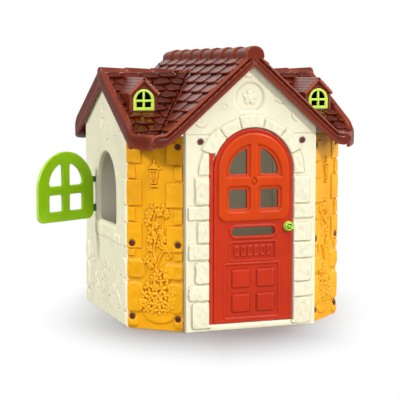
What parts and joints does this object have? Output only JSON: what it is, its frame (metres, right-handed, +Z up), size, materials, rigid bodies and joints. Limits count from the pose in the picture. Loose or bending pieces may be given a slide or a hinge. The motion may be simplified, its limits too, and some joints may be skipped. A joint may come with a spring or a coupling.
{
  "type": "plastic playhouse",
  "caption": "Moulded children's cottage with eight walls, a cross-gabled tiled roof with dormers, an arched swinging door and arched swinging shutters.",
  "frame": {"origin": "on the ground at the centre of the walls' footprint", "axes": "+Z up; the door faces -Y; +X is to the right of somebody who looks at the door"},
  "size_m": [1.4965, 1.304, 1.354],
  "materials": {
    "cream_plastic": "satin moulded",
    "amber_plastic": "satin moulded",
    "roof_plastic": "semi-gloss moulded",
    "red_plastic": "semi-gloss moulded",
    "orange_plastic": "semi-gloss moulded",
    "lime_plastic": "semi-gloss moulded",
    "green_plastic": "semi-gloss moulded",
    "bracket_plastic": "satin",
    "screw_plastic": "satin",
    "pin_steel": "bright drawn",
    "screw_steel": "zinc plated"
  },
  "bodies": {
    "house": {"front_wall": "cream_plastic", "back_wall": "cream_plastic", "left_wall": "cream_plastic", "right_wall": "cream_plastic", "main_roof_left": "roof_plastic", "main_roof_right": "roof_plastic", "wing_roof_left": "roof_plastic", "wing_roof_right": "roof_plastic", "wall_screws_front": "screw_plastic", "wall_screws_back": "screw_plastic", "door_hinge_block": "red_plastic", "door_hinge_pin_upper": "pin_steel", "door_hinge_pin_lower": "pin_steel", "shutter_brackets_left": "bracket_plastic", "shutter_brackets_right": "bracket_plastic", "shutter_pin_left": "pin_steel", "shutter_pin_right": "pin_steel", "corner_panel_front_left": "amber_plastic", "panel_screws_front_left": "screw_plastic", "dormer_window_front_left": "lime_plastic", "corner_panel_front_right": "amber_plastic", "panel_screws_front_right": "screw_plastic", "dormer_window_front_right": "lime_plastic", "corner_panel_back_left": "amber_plastic", "panel_screws_back_left": "screw_plastic", "dormer_window_back_left": "lime_plastic", "corner_panel_back_right": "amber_plastic", "panel_screws_back_right": "screw_plastic", "dormer_window_back_right": "lime_plastic"},
    "door": {"door_leaf": "red_plastic", "door_window_frame": "orange_plastic", "door_frame_screws": "screw_steel"},
    "latch": {"door_knob": "lime_plastic", "knob_spindle": "pin_steel", "latch_lever": "lime_plastic", "latch_screw": "screw_steel"},
    "left_shutter": {"shutter_left": "green_plastic"},
    "right_shutter": {"shutter_right": "green_plastic"}
  },
  "joints": [
    {"name": "door_hinge", "type": "hinge", "parent": "house", "child": "door", "pos_m": [-0.204, -0.6, 0.4], "axis": [0, 0, -1], "range_deg": [0, 95]},
    {"name": "knob_turn", "type": "hinge", "parent": "door", "child": "latch", "pos_m": [0.191, -0.6, 0.489], "axis": [0, -1, 0], "range_deg": [0, 90]},
    {"name": "left_shutter_hinge", "type": "hinge", "parent": "house", "child": "left_shutter", "pos_m": [-0.573, 0.186, 0.6], "axis": [0, 0, -1], "range_deg": [-61, 110]},
    {"name": "right_shutter_hinge", "type": "hinge", "parent": "house", "child": "right_shutter", "pos_m": [0.573, 0.186, 0.6], "axis": [0, 0, 1], "range_deg": [0, 171]}
  ]
}
